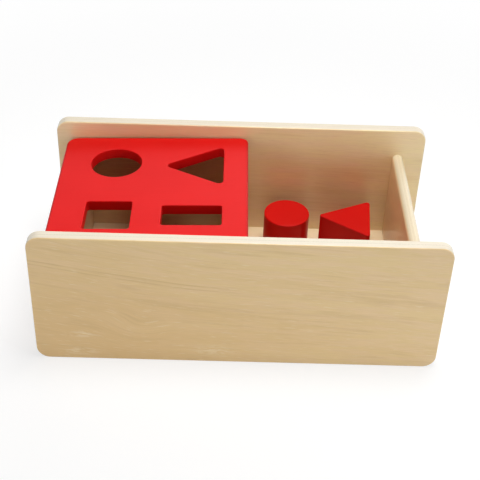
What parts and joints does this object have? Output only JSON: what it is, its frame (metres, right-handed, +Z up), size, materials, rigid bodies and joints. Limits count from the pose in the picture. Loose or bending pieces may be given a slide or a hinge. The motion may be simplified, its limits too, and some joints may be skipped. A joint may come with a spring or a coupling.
{
  "type": "shape sorter box",
  "caption": "Wooden posting box with a flip-over red lid: shaped holes in the lid each take a matching loose block, and the lid swings from one bay to the other.",
  "frame": {"origin": "middle of the underside, on the surface that the two side panels stand on", "axes": "+X along the box towards the open bay, +Y from the front panel to the rear panel, +Z up"},
  "size_m": [0.32, 0.175, 0.1205],
  "materials": {
    "plywood": "birch plywood, fine straight grain, clear satin lacquer, pale ply edges",
    "red_lacquer": "opaque red lacquer on wood, satin to gloss",
    "beech": "bare turned beech",
    "steel": "plain drawn steel pin"
  },
  "bodies": {
    "box": {"front_panel": "plywood", "rear_panel": "plywood", "floor_board": "plywood", "left_end_wall": "plywood", "right_end_wall": "plywood", "centre_divider": "plywood", "left_wall_dowels": "beech", "right_wall_dowels": "beech", "divider_dowels": "beech", "floor_front_dowels": "beech", "floor_rear_dowels": "beech", "front_pivot_pin": "steel", "rear_pivot_pin": "steel"},
    "lid": {"flip_lid": "red_lacquer"},
    "cylinder": {"cylinder_block": "red_lacquer"},
    "triangle": {"triangle_block": "red_lacquer"},
    "square": {"square_block": "red_lacquer"},
    "rectangle": {"rectangle_block": "red_lacquer"}
  },
  "joints": [
    {"name": "lid_flip", "type": "hinge", "parent": "box", "child": "lid", "pos_m": [0, 0, 0.1055], "axis": [0, 1, 0], "range_deg": [0, 183.49]},
    {"name": "cylinder_lift", "type": "slide", "parent": "box", "child": "cylinder", "axis": [0, 0, 1], "range_m": [0, 0.115]},
    {"name": "triangle_lift", "type": "slide", "parent": "box", "child": "triangle", "axis": [0, 0, 1], "range_m": [0, 0.115]},
    {"name": "square_lift", "type": "slide", "parent": "box", "child": "square", "axis": [0, 0, 1], "range_m": [0, 0.115]},
    {"name": "rectangle_lift", "type": "slide", "parent": "box", "child": "rectangle", "axis": [0, 0, 1], "range_m": [0, 0.115]}
  ]
}
